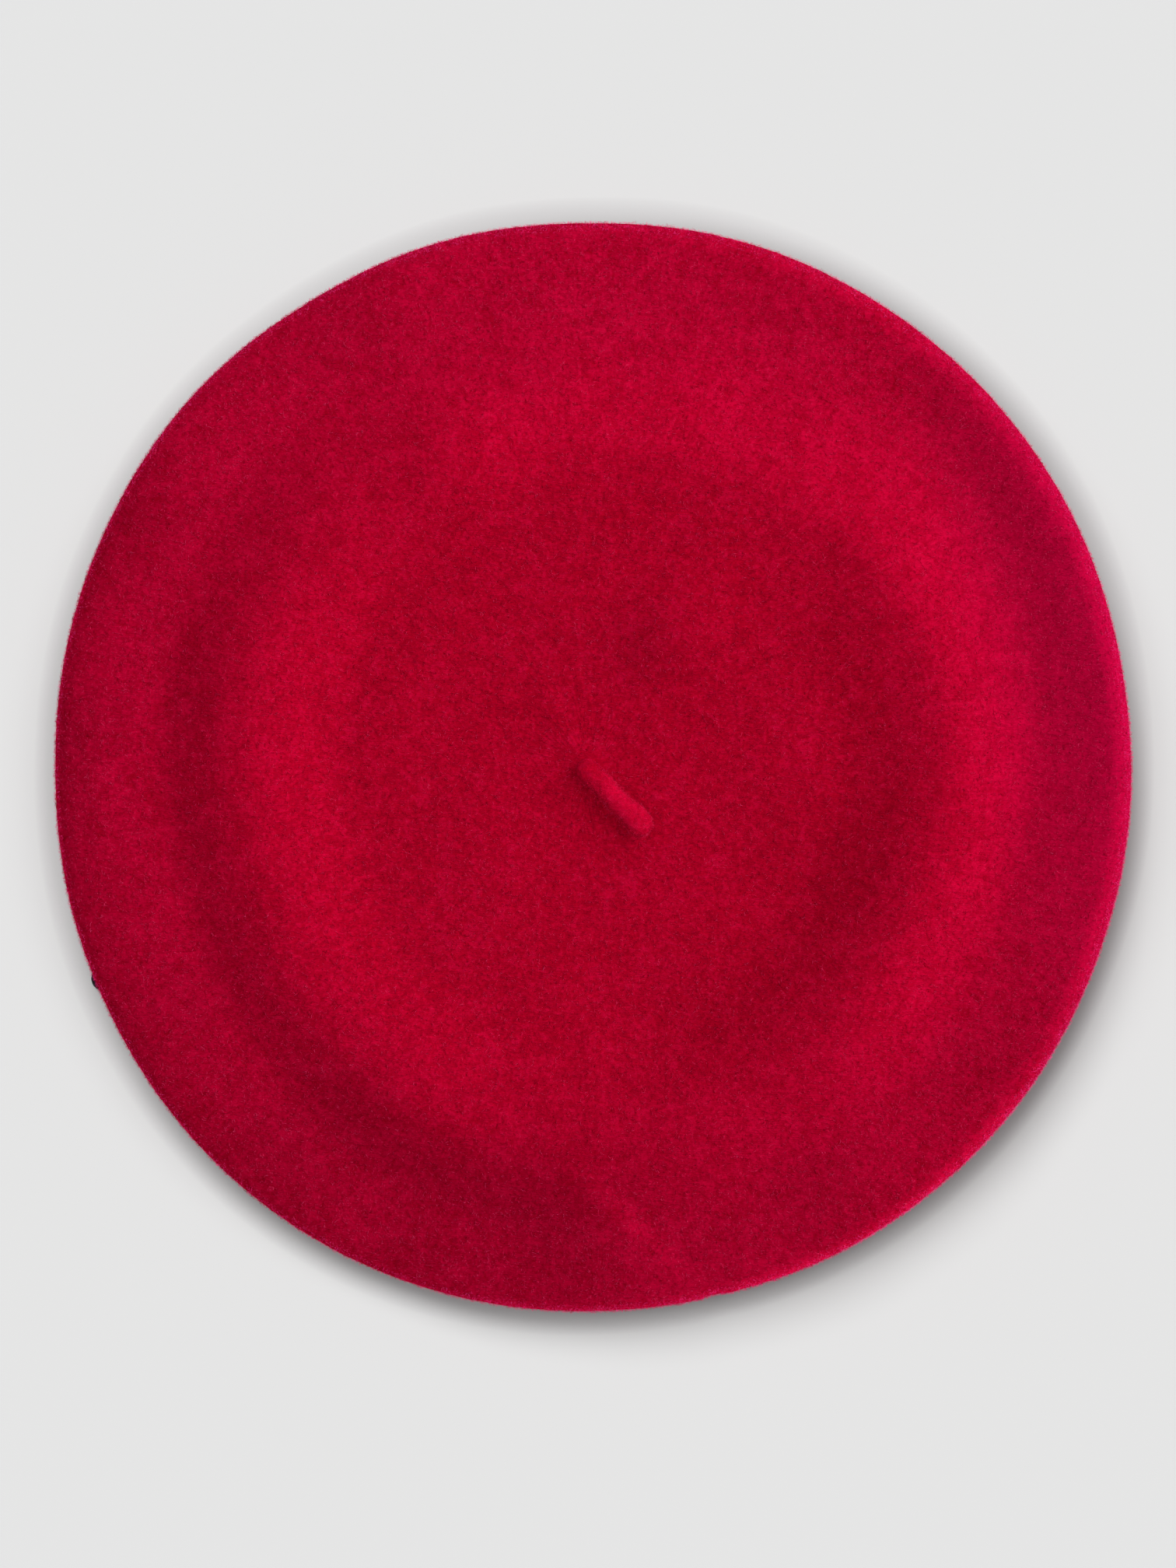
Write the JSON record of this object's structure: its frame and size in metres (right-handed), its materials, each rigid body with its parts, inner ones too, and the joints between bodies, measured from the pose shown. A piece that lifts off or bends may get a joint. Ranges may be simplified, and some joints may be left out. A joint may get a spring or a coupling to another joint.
{
  "type": "beret",
  "caption": "Round felted-wool beret lying flat, with a limp stalk, a folded leather sweatband round the head opening, a lining, and a drawstring tied in a bow at the back.",
  "frame": {"origin": "on the table, under the middle of the head opening, at the bottom of the folded sweatband", "axes": "+Z up through the stalk; +X to the right and +Y up in the picture, which looks straight down"},
  "size_m": [0.28, 0.28, 0.0278],
  "materials": {
    "felt": "red wool felt with a short nap",
    "leather": "black grained leather, satin",
    "satin": "dark red satin",
    "thread": "black sewing thread",
    "cord": "thin black braided cord"
  },
  "bodies": {
    "beret": {"felt_crown": "felt", "stalk_tack": "thread", "sweatband": "leather", "band_stitches": "thread", "back_tack": "thread", "lining_tip": "satin", "lining_side": "satin", "lining_seam": "thread", "drawstring": "cord"},
    "stalk": {"stalk": "felt"},
    "bow": {"drawstring_leads": "cord", "bow_knot": "cord", "bow_loop_long": "cord", "bow_loop_short": "cord", "bow_tail_long": "cord", "bow_tail_short": "cord"}
  },
  "joints": [
    {"name": "stalk_tilt", "type": "hinge", "parent": "beret", "child": "stalk", "pos_m": [0, 0, 0.0241], "axis": [-0.7193, -0.6947, 0], "range_deg": [0, 170]},
    {"name": "drawstring_pull", "type": "slide", "parent": "beret", "child": "bow", "axis": [-0.9184, -0.3955, 0], "range_m": [0, 0.012]}
  ]
}
